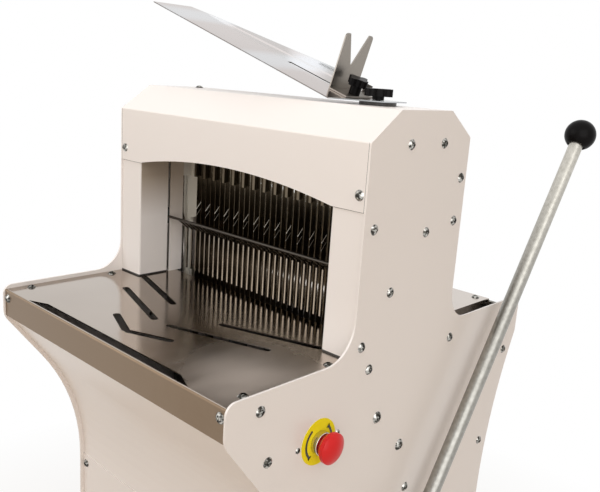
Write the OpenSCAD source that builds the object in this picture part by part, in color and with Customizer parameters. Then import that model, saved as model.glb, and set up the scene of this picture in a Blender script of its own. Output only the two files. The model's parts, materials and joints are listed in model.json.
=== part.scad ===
// Bread slicer on a closed pedestal: a lever draws a toothed pusher through two sets of saw blades.
// The origin is on the floor, midway between the four feet. +Y points to the loading side.

/* [Body] */
// Width over the two side panels
overall_w = 522; // [510:1:540]
// Height of the table top above the floor
table_h = 830; // [810:1:880]
// Depth of the pedestal, front to back
pedestal_d = 456; // [450:1:470]
// Thickness of the side panels
panel_t = 3; // [2:0.5:4]
// Thickness of the folded sheets
sheet_t = 1.5; // [1:0.1:2]
// Height of the side panels' lower edge above the floor
foot_h = 40; // [30:1:60]

/* [Side profile] */
// How far the front table reaches ahead of the pedestal
front_overhang = 127.5; // [120:0.5:135]
// How far the rear shelf reaches behind the pedestal
rear_overhang = 60.5; // [55:0.5:75]
// Height of the side panel's front edge
nose_h = 49; // [44:1:56]
// Drop from the table to the corner of the front curve
skirt_drop = 210.5; // [200:0.5:225]
// Radius of the front curve
front_curve_r = 330; // [250:5:350]
// Drop from the table to the corner of the rear curve
rear_drop = 200; // [190:1:220]
// Radius of the rear curve
rear_curve_r = 700; // [500:10:720]
// Height of the side panel's rear edge
tail_h = 62; // [55:1:66]
// Side panel above the front table
front_rise = 6; // [4:1:9]
// Side panel above the rear table
rear_rise = 11; // [8:1:14]

/* [Hood] */
// Hood front behind the pedestal front
hood_setback = 79; // [74:1:84]
// Depth of the hood
hood_d = 218.5; // [215:0.5:225]
// Height of the hood above the table
hood_h = 313; // [310:1:325]
// Depth of the front chamfer
front_chamfer_d = 54.5; // [45:0.5:60]
// Height of the front chamfer
front_chamfer_h = 38.5; // [30:0.5:45]
// Depth of the rear chamfer
rear_chamfer_d = 52; // [45:0.5:60]
// Height of the rear chamfer
rear_chamfer_h = 35.5; // [30:0.5:45]
// Height of the outlet at its sides
outlet_h = 191; // [180:1:200]
// Rise of the outlet's arch
arch_rise = 20; // [10:1:26]
// Width of each front guard
guard_w = 51.5; // [48:0.5:54]
// Depth of each front guard
guard_d = 57; // [50:0.5:57]
// Slit between a guard and the inner wall behind it
slit_w = 5; // [5:0.5:6]

/* [Blades] */
// Number of blades
blade_count = 30; // [24:2:32]
// Distance from blade to blade
blade_pitch = 12; // [10:0.5:12]
// Width of a blade
blade_w = 12; // [10:0.5:13]
// Thickness of a blade
blade_t = 0.8; // [0.6:0.1:1]
// Blade row behind the hood front
blade_setback = 99; // [98:0.5:100]
// Full stroke of a blade frame
stroke = 35; // [25:1:36]
// Radius of the guide columns
column_r = 8; // [6:0.5:8.5]

/* [Pusher and lever] */
// Front of the pusher's teeth behind the hood front, at rest
pusher_home = 195; // [190:1:200]
// Whole travel of the pusher
pusher_travel = 247; // [200:1:248]
// How much of that travel draws the pusher back from rest
pusher_back = 140; // [120:1:142]
// Height of the pusher's teeth
tooth_h = 130; // [60:1:134]
// Width of a tooth
tooth_w = 7; // [5:0.5:8]
// Length of the lever, pivot to ball centre
lever_len = 662; // [600:1:720]
// Lean of the lever behind upright, at rest
lever_lean = 33; // [31:0.5:35]
// Radius of the lever tube
lever_r = 11; // [9:0.5:12]
// Radius of the ball knob
ball_r = 24.5; // [20:0.5:28]
// Drop of the lever's pivot below the table
pivot_drop = 275; // [272:1:280]
// Lever's pivot behind the hood front
pivot_setback = 142; // [140:1:144]

/* [Scoop] */
// Length of the scoop's floor along its slope
scoop_len = 417; // [360:1:430]
// Slope of the scoop's floor
scoop_slope = 17.9; // [14:0.1:20]
// Height of the V-fork
fork_h = 78; // [60:1:85]
// Width of the V-fork
fork_w = 58; // [46:1:60]

/* [Emergency stop] */
// Radius of the yellow disc
disc_r = 30; // [26:0.5:34]
// Radius of the mushroom button
button_r = 20; // [16:0.5:22]
// Travel of the button
button_travel = 5; // [3:0.5:6]

/* [Drive] */
// Drop of the crank shaft below the table
crank_drop = 400; // [395:1:410]
// Radius of the driven pulley's belt line
driven_r = 80; // [70:1:84]
// Radius of the motor pulley's belt line
driver_r = 40; // [35:1:45]
// Radius of the motor's body
motor_r = 62; // [55:1:65]
// Length of the motor's body
motor_len = 190; // [160:1:195]

/* [Crumb drawer] */
// Width of the drawer
drawer_w = 380; // [340:1:390]
// Depth of the drawer
drawer_d = 370; // [300:1:380]
// Height of the drawer
drawer_h = 104; // [80:1:108]

/* [Hidden] */
$fn = 48;

// Shared clearances
overrun = 1;
running_gap = 0.05;
gap = 0.3;

// Main planes
half_w = overall_w / 2;
inner_w = half_w - panel_t;
ped_front = -pedestal_d / 2;
ped_rear = pedestal_d / 2;
nose_y = ped_front - front_overhang;
tail_y = ped_rear + rear_overhang;
hood_y = ped_front + hood_setback;
hood_rear_y = hood_y + hood_d;
hood_top = table_h + hood_h;
guard_x = inner_w - guard_w;

// Corner radii of the side panel
nose_top_r = 14;
nose_low_r = 30;
base_corner_r = 4;
tail_low_r = 15;
tail_top_r = 12;
rear_cove_r = 45;
front_cove_r = 48;
hood_corner_r = 3;

panel_profile = [
    [nose_y, table_h + front_rise, nose_top_r],
    [nose_y, table_h + front_rise - nose_h, nose_low_r],
    [ped_front, table_h - skirt_drop, front_curve_r],
    [ped_front, foot_h, base_corner_r],
    [ped_rear, foot_h, base_corner_r],
    [ped_rear, table_h - rear_drop, rear_curve_r],
    [tail_y, table_h + rear_rise - tail_h, tail_low_r],
    [tail_y, table_h + rear_rise, tail_top_r],
    [hood_rear_y, table_h + rear_rise, rear_cove_r],
    [hood_rear_y, hood_top - rear_chamfer_h, hood_corner_r],
    [hood_rear_y - rear_chamfer_d, hood_top, hood_corner_r],
    [hood_y + front_chamfer_d, hood_top, hood_corner_r],
    [hood_y, hood_top - front_chamfer_h, hood_corner_r],
    [hood_y, table_h + front_rise, front_cove_r]
];

// Screws: heads, shanks and places
screw_head_r = 7;
screw_head_h = 3.7;
screw_shank_r = 2.5;
bolt_head_r = 8.5;
bolt_head_h = 4.5;
bolt_shank_r = 4;
small_head_r = 4;
small_head_h = 2;
recess_share = 0.55;
recess_w_share = 0.14;
// Screws on the hood's sides, as shares of its depth and height
hood_screw_shares = [
    [0.37, 0.865], [0.71, 0.865], [0.94, 0.71], [0.09, 0.54],
    [0.61, 0.49], [0.91, 0.52], [0.30, 0.26], [0.07, 0.057]
];
// Screws on the pedestal's sides, as shares of its depth and of the skirt's drop
skirt_screw_shares = [
    [0.25, 0.08], [0.50, 1.10], [0.67, 0.076], [1.057, 0.366], [0.963, 1.09],
    [-0.169, 0.076], [-0.134, 0.40]
];
// Screws lower on the pedestal's sides, as shares of its depth and of the height below the skirt
low_screw_shares = [[0.05, 0.436], [0.95, 0.436], [0.05, 0.872], [0.95, 0.872]];
bolt_shares = [[0.311, 0.442], [0.441, 0.731]];
stop_shares = [0.054, 0.4155];
hood_screw_places = [for (s = hood_screw_shares) [hood_y + s.x * hood_d, table_h + s.y * hood_h]];
function skirt_place(s) = [ped_front + s.x * pedestal_d, table_h - s.y * skirt_drop];
skirt_screw_places = [for (s = skirt_screw_shares) skirt_place(s)];
below_skirt = table_h - skirt_drop - foot_h;
low_screw_places = [for (s = low_screw_shares)
    [ped_front + s.x * pedestal_d, foot_h + (1 - s.y) * below_skirt]];
side_screw_places = concat(hood_screw_places, skirt_screw_places, low_screw_places);
bolt_places = [for (s = bolt_shares) skirt_place(s)];
stop_place = skirt_place(stop_shares);

// Front screws of the hood, lip and cover, and the tables' screws
edge_inset = 9;
hood_screw_rise = 20;
lip_screw_drop = 13;
table_screw_inset = 13;
table_screw_shares = [0.11, 0.795];
rear_screw_inset = 17;
top_screw_share = 0.87;
top_screw_depth_share = 0.6;
cover_screw_shares = [0.035, 0.5, 0.965];
rear_screw_shares = [0.05, 0.55];

// Hood, guards and inner walls
guard_lap = 40;
inner_wall_d = 28;
inner_foot_d = 18;
inner_wall_h = 228;
inner_wall_foot = 20;

// Front table
lip_h = 41.5;
lip_inset = 2.5;
lip_bend_r = 3;
table_end = 77;
flange_h = 28;
flange_start = 12;
flange_end = 40;
crumb_slot_w = 11;
// Crumb slots' ends, as shares of half the width and of the table's reach ahead of the hood
crumb_slot_shares = [
    [[0.015, 0.765], [0.24, 0.65]],
    [[0.07, 0.49], [0.62, 0.26]],
    [[0.22, 0.19], [0.76, -0.03]]
];
table_reach = hood_y - nose_y - lip_inset;
front_gap_d = 14;
front_gap_w = 378;
front_gap_taper = 31;

// Rear table and its cross bar
side_gap = 37;
rear_table_start = 121;
rear_table_end = 411;
rear_fold_h = 14;
rear_flange_h = 12;
rear_flange_end = 31;
cross_bar_gap = 8.5;
cross_bar_t = 8;
cross_bar_drop = 9;
cross_bar_h = 36;
lug_x = 150;
lug_w = 30;
lug_h = 4;
rear_table_x = inner_w - side_gap;
cross_bar_y = hood_y + rear_table_end + cross_bar_gap;
cross_bar_top = table_h - cross_bar_drop;

// Apron and covers
apron_inset = 7;
apron_top_share = 0.4;
cover_gap = 2;
cover_lap = 25;
rear_cover_drop = 10;
vent_count = 7;
vent_w = 150;
vent_h = 7;
vent_step_share = 0.04;
vent_low_share = 0.28;
front_turn = atan2(front_overhang, skirt_drop + front_rise - nose_h);
cover_top = table_h - skirt_drop - front_curve_r * tan(front_turn / 2) - cover_gap;
base_t = 3;
base_wall = 25;

// Feet
foot_inset = 40;
foot_pad_r = 22;
foot_pad_h = 14;
foot_stem_r = 6;

// Blade frames
beam_t = 8;
beam_h = 30;
frame_gap = 5;
beam_drop = 33;
lower_drop = 45;
upright_w = 20;
column_x = 224;
block_w = 25;
block_h = 40;
block_spare = 5;
block_side_gap = 1;
tab_w = 5;
tab_low = 168;
tab_h = 45;
blade_end_inset = 5;
strip_low = 84;
strip_slant = 16;
scallop = 15;
scallop_depth = 1.6;
blade_y = hood_y + blade_setback;
front_beam_y = blade_y - blade_w / 2 - frame_gap - beam_t;
rear_beam_y = blade_y + blade_w / 2 + frame_gap;
beam_top = hood_top - beam_drop;
lower_top = table_h - lower_drop;
lower_z = lower_top - beam_h;
frame_half_w = column_x + upright_w / 2;
block_step = block_h + stroke + block_spare;
front_block_z = [beam_top - beam_h / 2, lower_top + block_spare];
rear_block_z = [for (z = front_block_z) z - block_step];
blade_x = [for (i = [0:blade_count - 1]) (i - (blade_count - 1) / 2) * blade_pitch];
gap_x = [for (i = [1:blade_count - 1]) (i - blade_count / 2) * blade_pitch];
finger_x = [for (i = [0:blade_count]) (i - blade_count / 2) * blade_pitch];

// Guides of the blade frames
bracket_t = 5;
bracket_flange_h = 55;
bracket_reach = 16;
bracket_front = 30;
bracket_back = 66;
guide_beam_w = 18;
guide_beam_h = 24;
guide_beam_drop = 172;
guide_beam_top = table_h - guide_beam_drop;

// Drive
deck_drop = 536;
deck_t = 4;
deck_window_w = 190;
deck_window_d = 95;
deck_front_gap = 20;
deck_flange_h = 30;
plate_x = 106;
plate_t = 8;
plate_front = 50;
plate_back = 165;
post_front = 126;
post_back = 160;
plate_foot_w = 26;
plate_foot_t = 5;
shaft_hole_r = 16;
crank_shaft_r = 12.5;
bearing_r = 32;
bearing_w = 18;
bearing_flange_w = 90;
bearing_flange_h = 56;
bearing_flange_t = 8;
disc_x = 140;
crank_disc_t = 12;
crank_disc_r = 36;
rod_w = 12;
rod_t = 8;
rod_eye_r = 12;
rod_bolt_r = 6;
rod_bolt_head_r = 9;
rod_bolt_head_h = 5;
rod_bolt_gap = 0.4;
pulley_w = 24;
groove_w = 12;
belt_h = 7;
belt_w = 10;
pulley_rim = 5;
motor_y_offset = 268;
motor_rise = 75;
motor_x = 30;
motor_shaft_r = 9.5;
motor_shaft_in = 25;
motor_foot_w = 110;
motor_foot_t = 6;
motor_neck_w = 40;
terminal_w = 70;
terminal_h = 34;
terminal_d = 60;
crank_z = table_h - crank_drop;
deck_z = table_h - deck_drop;
motor_y = hood_y + motor_y_offset;
motor_z = deck_z + motor_rise;

// Holding comb
comb_bar_r = 2.2;
comb_rise = 97;
comb_bend_rise = 80;
comb_tip_rise = 10;
comb_setback = 80;
finger_w = 2.6;
comb_bar_over = 15;
comb_bush_w = 14;
comb_bush_h = 24;
comb_bush_d = 20;
comb_y = hood_y + guard_d + slit_w / 2;
comb_z = table_h + comb_rise;

// Pusher
tooth_d = 34;
tooth_rise = 12;
push_beam_t = 10;
push_beam_h = 124;
push_beam_rise = 20;
side_plate_x = 240;
side_plate_t = 6;
side_plate_low = 68;
upright_front = 10;
carriage_len = 45;
carriage_lead = 3;
carriage_top = 16;
carriage_h = 28;
carriage_x = 197;
slide_rod_r = 7;
slide_rod_x = 212;
slide_rod_drop = 30;
hanger_t = 3;
hanger_w = 19;
hanger_drop = 45;
pin_r = 6;
pin_drop = 60;
pin_len = 10;
teeth_y = hood_y + pusher_home;
push_beam_y = teeth_y + tooth_d;
pusher_rear_y = push_beam_y + push_beam_t;
carriage_y = push_beam_y + carriage_lead;

// Lever and its arms
lever_gap = 34;
hub_r = 19;
hub_w = 34;
hub_bore_clear = 0.05;
shaft_r = 10;
shaft_end = 8;
bush_r = 14;
bush_flange_r = 20;
bush_flange_t = 3;
arm_x = 249;
arm_t = 6;
arm_w = 44;
arm_hub_r = 22;
arm_slot_w = 22;
arm_tip = 16;
arm_slot_over = 8;
ball_seat = 12;
lever_wall = 2;
pivot_y = hood_y + pivot_setback;
pivot_z = table_h - pivot_drop;
lever_x = half_w + lever_gap;
pin_ahead = pusher_travel / 2 - pusher_back;
pin_y = pivot_y + pin_ahead;
pin_z = table_h - pin_drop;
arm_rise = pin_z - pivot_z;
arm_span = atan2(pusher_travel / 2, arm_rise);
arm_lean = arm_span * pin_ahead / (pusher_travel / 2);
arm_pin_far = norm([pusher_travel / 2, arm_rise]);

// Emergency stop
disc_t = 1;
collar_r = 15;
collar_h = 9;
stem_r = 9;
button_h = 16;
button_skirt = 4;
button_side = 5;
skirt_share = 0.85;
contact_w = 30;
contact_d = 46;
stop_screw_gap = 36;

// Scoop, its knobs and the V-fork
scoop_x = 178;
scoop_y_share = 0.513;
scoop_bend_x = 135;
scoop_tip_x = 206;
scoop_front = 60;
scoop_rear = 168;
scoop_rear_far = 150;
scoop_end_far = 137;
scoop_cut = 38;
scoop_wall_h = 14;
scoop_wall_run = 290;
scoop_t = 1.5;
scoop_bend_r = 4;
tip_inset = 30;
spacer_r = 25;
spacer_h = 5;
stud_r = 3;
stud_over = 4;
stud_head_r = 6;
scoop_slot_w = 7;
scoop_slot_y = 122;
scoop_slot_far = 141;
scoop_slot_near = 9;
knob_r = 15;
knob_lobe_r = 7;
knob_lobes = 4;
knob_h = 10;
knob_hub_r = 8;
knob_hub_h = 5;
fork_knob_share = 0.73;
fork_knob_hub_h = 13;
fork_at = 35;
fork_side = 4;
fork_t = 2;
fork_foot_back = 1;
fork_tip_r = 5;
fork_edge_r = 1;
fork_notch = 45;
fork_tip_w = 9;
scoop_pivot = [scoop_x, hood_y + scoop_y_share * hood_d];
foot_plate_z = hood_top + spacer_h;

// Crumb drawer
drawer_top_gap = 16;
drawer_plate_lap = 10;
drawer_lap = 8;
runner_t = 3;
runner_ledge = 22;
grip_w = 110;
grip_r = 5;
grip_reach = 26;
drawer_top = deck_z - deck_t - drawer_top_gap;
drawer_z = drawer_top - drawer_h;
grip_z = drawer_z + drawer_h / 2;
cover_y = ped_front + apron_inset - sheet_t;

// Basic shapes

module yz(x, t) {
    translate([x, 0, 0]) rotate([90, 0, 90]) linear_extrude(t) children();
}

module xz(y, t) {
    translate([0, y + t, 0]) rotate([90, 0, 0]) linear_extrude(t) children();
}

module box(low, high) {
    translate(low) cube(high - low);
}

module bar_x(low, high, y, z, r) {
    translate([low, y, z]) rotate([0, 90, 0]) cylinder(r = r, h = high - low);
}

module bar_y(x, low, high, z, r) {
    translate([x, low, z]) rotate([-90, 0, 0]) cylinder(r = r, h = high - low);
}

module bar_z(x, y, low, high, r) {
    translate([x, y, low]) cylinder(r = r, h = high - low);
}

module both_sides() {
    children();
    mirror([1, 0, 0]) children();
}

// Outlines: corners [a, b, radius] become arcs, and a path becomes a strip of even thickness
function unit(v) = v / norm(v);
function flat(p) = [p.x, p.y];
arc_steps = 10;
function corner_arc(a, b, c, r) = let (
        u = unit(a - b),
        w = unit(c - b),
        half = acos(u * w) / 2,
        centre = b + unit(u + w) * (r / sin(half)),
        from = b + u * (r / tan(half)) - centre,
        to = b + w * (r / tan(half)) - centre,
        start = atan2(from.y, from.x),
        turn = atan2(to.y, to.x) - start,
        sweep = turn > 180 ? turn - 360 : turn < -180 ? turn + 360 : turn)
    [for (k = [0:arc_steps])
        centre + r * [cos(start + sweep * k / arc_steps), sin(start + sweep * k / arc_steps)]];
function rounded(corners) = let (n = len(corners))
    [for (i = [0:n - 1]) each corner_arc(
        flat(corners[(i + n - 1) % n]), flat(corners[i]), flat(corners[(i + 1) % n]), corners[i][2])];
function rounded_path(corners) = let (n = len(corners))
    [for (i = [0:n - 1]) each i == 0 || i == n - 1 || corners[i][2] == 0 ? [flat(corners[i])]
        : corner_arc(flat(corners[i - 1]), flat(corners[i]), flat(corners[i + 1]), corners[i][2])];
function left_of(v) = [-v.y, v.x];
function mitre(path, i) = let (
        n = len(path),
        before = i == 0 ? path[1] - path[0] : path[i] - path[i - 1],
        after = i == n - 1 ? path[i] - path[i - 1] : path[i + 1] - path[i],
        n1 = left_of(unit(before)),
        mid = unit(n1 + left_of(unit(after))))
    mid / (mid * n1);
function strip(path, t) = let (n = len(path))
    concat(path, [for (i = [n - 1:-1:0]) path[i] + t * mitre(path, i)]);

// Fasteners and knobs stand on z = 0 and point along +Z
module screw(head_r, head_h, shank_r, shank_len) {
    cap_r = (head_r * head_r + head_h * head_h) / (2 * head_h);
    difference() {
        union() {
            intersection() {
                translate([0, 0, head_h - cap_r]) sphere(cap_r);
                cylinder(r = head_r, h = head_h);
            }
            translate([0, 0, -shank_len]) cylinder(r = shank_r, h = shank_len + head_h / 2);
        }
        for (turn = [0, 90]) rotate(turn)
            translate([-head_r * recess_share, -head_r * recess_w_share, head_h / 2])
                cube([2 * head_r * recess_share, 2 * head_r * recess_w_share, head_h]);
    }
}

module pan_screw(shank_len) {
    screw(screw_head_r, screw_head_h, screw_shank_r, shank_len);
}

module star_knob(size_share, hub_h, stud_len) {
    ring_r = knob_r * size_share;
    cylinder(r = knob_hub_r, h = hub_h + knob_h / 2);
    translate([0, 0, hub_h]) linear_extrude(knob_h) union() {
        circle(ring_r);
        for (k = [0:knob_lobes - 1]) rotate(k * 360 / knob_lobes)
            translate([ring_r, 0]) circle(knob_lobe_r * size_share);
    }
    translate([0, 0, -stud_len]) cylinder(r = stud_r, h = stud_len + hub_h / 2);
}

// Casing

module side_panel() {
    difference() {
        yz(inner_w, panel_t) polygon(rounded(panel_profile));
        for (p = side_screw_places)
            bar_x(inner_w - overrun, half_w + overrun, p.x, p.y, screw_shank_r + running_gap);
        for (p = bolt_places)
            bar_x(inner_w - overrun, half_w + overrun, p.x, p.y, bolt_shank_r + running_gap);
        bar_x(inner_w - overrun, half_w + overrun, pivot_y, pivot_z, bush_r + running_gap);
    }
}

module right_side_panel() {
    color("whitesmoke") difference() {
        side_panel();
        bar_x(inner_w - overrun, half_w + overrun, stop_place.x, stop_place.y, stem_r + running_gap);
        for (side = [-1, 1])
            bar_x(inner_w - overrun, half_w + overrun, stop_place.x + side * stop_screw_gap,
                  stop_place.y, screw_shank_r + running_gap);
    }
}

module left_side_panel() {
    color("whitesmoke") mirror([1, 0, 0]) side_panel();
}

hood_path = [
    [hood_y, table_h + outlet_h, 0],
    [hood_y, hood_top - front_chamfer_h, hood_corner_r],
    [hood_y + front_chamfer_d, hood_top, hood_corner_r],
    [hood_rear_y - rear_chamfer_d, hood_top, hood_corner_r],
    [hood_rear_y, hood_top - rear_chamfer_h, hood_corner_r],
    [hood_rear_y, table_h + outlet_h, 0]
];

module arch_cut() {
    arch_r = (guard_x * guard_x + arch_rise * arch_rise) / (2 * arch_rise);
    intersection() {
        bar_y(0, hood_y - overrun, hood_rear_y + overrun, table_h + outlet_h + arch_rise - arch_r, arch_r);
        box([-guard_x, hood_y - overrun, table_h + outlet_h - overrun],
            [guard_x, hood_rear_y + overrun, hood_top - front_chamfer_h - arch_rise]);
    }
}

module hood_cover() {
    color("white") difference() {
        yz(-inner_w, 2 * inner_w) polygon(strip(rounded_path(hood_path), -sheet_t));
        arch_cut();
        for (p = hood_front_places)
            bar_y(p.x, hood_y - overrun, hood_y + sheet_t + overrun, p.y, screw_shank_r + running_gap);
        for (p = hood_top_places)
            bar_z(p.x, p.y, hood_top - sheet_t - overrun, hood_top + overrun, screw_shank_r + running_gap);
        bar_z(scoop_pivot.x, scoop_pivot.y, hood_top - sheet_t - overrun, hood_top + overrun,
              stud_r + running_gap);
    }
}

module guard() {
    guard_y = hood_y + sheet_t;
    color("white") difference() {
        translate([0, 0, table_h]) linear_extrude(outlet_h + guard_lap) polygon(strip(rounded_path([
            [inner_w, guard_y, 0],
            [guard_x, guard_y, hood_corner_r],
            [guard_x, hood_y + guard_d, 0]
        ]), -sheet_t));
        bar_y(inner_w - edge_inset, hood_y, guard_y + sheet_t + overrun,
              table_h + outlet_h + hood_screw_rise, screw_shank_r + running_gap);
    }
}

module right_guard() {
    guard();
}

module left_guard() {
    mirror([1, 0, 0]) guard();
}

module inner_wall() {
    wall_y = hood_y + guard_d + slit_w;
    color("white") union() {
        box([guard_x, wall_y, table_h],
            [guard_x + sheet_t, wall_y + inner_wall_d - sheet_t, table_h + inner_wall_h]);
        box([guard_x, wall_y, table_h],
            [guard_x + inner_wall_foot, wall_y + inner_foot_d - sheet_t, table_h + sheet_t]);
    }
}

module right_inner_wall() {
    inner_wall();
}

module left_inner_wall() {
    mirror([1, 0, 0]) inner_wall();
}

// Outline of a slot with round ends
function slot_outline(from, to, w) = let (heading = atan2(to.y - from.y, to.x - from.x))
    [for (end = [0, 1], k = [0:arc_steps]) let (turn = heading + 90 - end * 180 + k * 180 / arc_steps)
        (end == 0 ? from : to) + w / 2 * [cos(turn), sin(turn)]];

function crumb_place(s) = [s.x * half_w, hood_y - s.y * table_reach];

module crumb_slots() {
    for (s = crumb_slot_shares, side = [[1, 1], [-1, 1]])
        scale(side) polygon(slot_outline(crumb_place(s[0]), crumb_place(s[1]), crumb_slot_w));
}

module front_table() {
    lip_y = nose_y + lip_inset;
    front_gap_y = lip_y + lip_bend_r + sheet_t / 2;
    color("silver") difference() {
        union() {
            yz(-inner_w, 2 * inner_w) polygon(strip(rounded_path([
                [lip_y, table_h - lip_h, 0],
                [lip_y, table_h, lip_bend_r],
                [hood_y + table_end, table_h, 0]
            ]), -sheet_t));
            both_sides() box([inner_w - sheet_t, lip_y + flange_start, table_h - flange_h],
                             [inner_w, hood_y + flange_end, table_h - sheet_t / 2]);
        }
        translate([0, 0, table_h - sheet_t - overrun]) linear_extrude(sheet_t + 2 * overrun) {
            crumb_slots();
            polygon([
                [-front_gap_w / 2, front_gap_y], [front_gap_w / 2, front_gap_y],
                [front_gap_w / 2 - front_gap_taper, front_gap_y + front_gap_d],
                [front_gap_taper - front_gap_w / 2, front_gap_y + front_gap_d]
            ]);
        }
        for (p = front_table_places)
            bar_z(p.x, p.y, table_h - sheet_t - overrun, table_h + overrun, screw_shank_r + running_gap);
        for (p = lip_places)
            bar_y(p.x, lip_y - overrun, lip_y + sheet_t + overrun, p.y, screw_shank_r + running_gap);
    }
}

module rear_table() {
    far_y = hood_y + rear_table_end;
    color("silver") difference() {
        union() {
            yz(-rear_table_x, 2 * rear_table_x) polygon(strip(rounded_path([
                [hood_y + rear_table_start, table_h, 0],
                [far_y, table_h, lip_bend_r],
                [far_y, table_h - rear_fold_h, 0]
            ]), -sheet_t));
            both_sides() box([rear_table_x - sheet_t, hood_y + rear_table_start, table_h - rear_flange_h],
                             [rear_table_x, far_y - rear_flange_end, table_h - sheet_t / 2]);
        }
        for (p = rear_table_places)
            bar_z(p.x, p.y, table_h - sheet_t - overrun, table_h + overrun, screw_shank_r + running_gap);
    }
}

module apron() {
    color("white") yz(-inner_w, 2 * inner_w) polygon(strip(rounded_path([
        [nose_y + apron_inset, table_h + front_rise - nose_h + apron_top_share * nose_low_r, 0],
        [nose_y + apron_inset, table_h + front_rise - nose_h, nose_low_r],
        [ped_front + apron_inset, table_h - skirt_drop, front_curve_r],
        [ped_front + apron_inset, cover_top - cover_lap, 0]
    ]), sheet_t));
}

module front_cover() {
    opening_x = drawer_w / 2 + drawer_lap - runner_t;
    color("white") difference() {
        box([-inner_w, cover_y, foot_h + base_t], [inner_w, cover_y + sheet_t, cover_top]);
        box([-opening_x, cover_y - overrun, drawer_z - drawer_lap / 2],
            [opening_x, cover_y + sheet_t + overrun, drawer_top + drawer_lap / 2]);
        for (p = cover_places)
            bar_y(p.x, cover_y - overrun, cover_y + sheet_t + overrun, p.y, screw_shank_r + running_gap);
    }
}

module rear_cover() {
    outer_y = ped_rear - apron_inset;
    flat_h = table_h - rear_drop - foot_h;
    color("white") difference() {
        yz(-inner_w, 2 * inner_w) polygon(strip(rounded_path([
            [outer_y, foot_h + base_t, 0],
            [outer_y, table_h - rear_drop, rear_curve_r],
            [tail_y - apron_inset, table_h + rear_rise - tail_h, tail_low_r],
            [tail_y - apron_inset, table_h - rear_cover_drop, 0]
        ]), sheet_t));
        for (k = [0:vent_count - 1])
            translate([0, 0, foot_h + (vent_low_share + k * vent_step_share) * flat_h])
                xz(outer_y - sheet_t - overrun, sheet_t + 2 * overrun)
                    polygon(slot_outline([-vent_w / 2, 0], [vent_w / 2, 0], vent_h));
        for (p = rear_cover_places)
            bar_y(p.x, outer_y - sheet_t - overrun, outer_y + overrun, p.y, screw_shank_r + running_gap);
    }
}

module base_pan() {
    low_y = ped_front + apron_inset;
    high_y = ped_rear - apron_inset - sheet_t;
    color("dimgray") difference() {
        box([-inner_w, low_y, foot_h], [inner_w, high_y, foot_h + base_wall]);
        box([base_t - inner_w, low_y + base_t, foot_h + base_t],
            [inner_w - base_t, high_y - base_t, foot_h + base_wall + overrun]);
        box([-inner_w - overrun, low_y - overrun, foot_h + base_t],
            [inner_w + overrun, low_y + sheet_t, foot_h + base_wall + overrun]);
    }
}

module levelling_feet() {
    color("black") for (x = [-1, 1], y = [-1, 1])
        translate([x * (inner_w - foot_inset), y * (ped_rear - foot_inset), 0]) union() {
            cylinder(r = foot_pad_r, h = foot_pad_h);
            cylinder(r = foot_stem_r, h = foot_h);
        }
}

// Bars between the side panels, behind the screws that hold them
tie_shares = [[-0.134, 0.40], [1.057, 0.366], [0.963, 1.09]];
tie_r = 6;

module tie_bars() {
    color("gray") for (s = tie_shares)
        bar_x(-inner_w, inner_w, skirt_place(s).x, skirt_place(s).y, tie_r);
}

module rear_cross_bar() {
    color("gray") union() {
        box([-inner_w, cross_bar_y, cross_bar_top - cross_bar_h],
            [inner_w, cross_bar_y + cross_bar_t, cross_bar_top]);
        both_sides() box([lug_x, hood_y + rear_table_end, cross_bar_top - lug_h],
                         [lug_x + lug_w, cross_bar_y + cross_bar_t, cross_bar_top]);
    }
}

// Drive deck and drive plates

module drive_deck() {
    low_y = cover_y + deck_front_gap;
    high_y = ped_rear - apron_inset - deck_front_gap;
    runner_x = drawer_w / 2 + gap;
    runner_end = cover_y + drawer_d;
    ledge_z = drawer_z - gap;
    color("gray") difference() {
        union() {
            box([-inner_w, low_y, deck_z - deck_t], [inner_w, high_y, deck_z]);
            both_sides() {
                box([inner_w - sheet_t, low_y, deck_z - deck_t], [inner_w, high_y, deck_z + deck_flange_h]);
                box([runner_x, low_y, ledge_z - runner_t],
                    [runner_x + runner_t, runner_end, deck_z - deck_t / 2]);
                box([runner_x - runner_ledge, low_y, ledge_z - runner_t],
                    [runner_x + runner_t, runner_end, ledge_z]);
            }
        }
        box([-deck_window_w / 2, low_y + deck_front_gap, deck_z - deck_t - overrun],
            [deck_window_w / 2, low_y + deck_front_gap + deck_window_d, deck_z + overrun]);
    }
}

module drive_plate() {
    color("gray") difference() {
        union() {
            yz(plate_x, plate_t) polygon([
                [hood_y + plate_front, deck_z], [hood_y + plate_back, deck_z],
                [hood_y + plate_back, guide_beam_top - guide_beam_h],
                [hood_y + post_back, table_h - sheet_t], [hood_y + post_front, table_h - sheet_t],
                [hood_y + post_front, guide_beam_top - guide_beam_h],
                [hood_y + plate_front, guide_beam_top - guide_beam_h]
            ]);
            box([plate_x, hood_y + plate_front, deck_z],
                [plate_x + plate_foot_w, hood_y + plate_back, deck_z + plate_foot_t]);
        }
        bar_x(plate_x - overrun, plate_x + plate_t + overrun, blade_y, crank_z, shaft_hole_r);
        bar_x(plate_x - overrun, plate_x + plate_t + overrun, pivot_y, pivot_z, shaft_hole_r);
    }
}

module right_drive_plate() {
    drive_plate();
}

module left_drive_plate() {
    mirror([1, 0, 0]) drive_plate();
}

// Guides of the blade frames

module upper_guide_brackets() {
    low_z = hood_top - beam_drop + stroke / 2 + overrun + bracket_t;
    color("gray") both_sides() union() {
        box([column_x - bracket_reach, blade_y - bracket_front, low_z],
            [inner_w, blade_y + bracket_back, low_z + bracket_t]);
        box([inner_w - bracket_t, blade_y - bracket_front, low_z + bracket_t - bracket_flange_h],
            [inner_w, blade_y + bracket_back, low_z + bracket_t]);
    }
}

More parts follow.
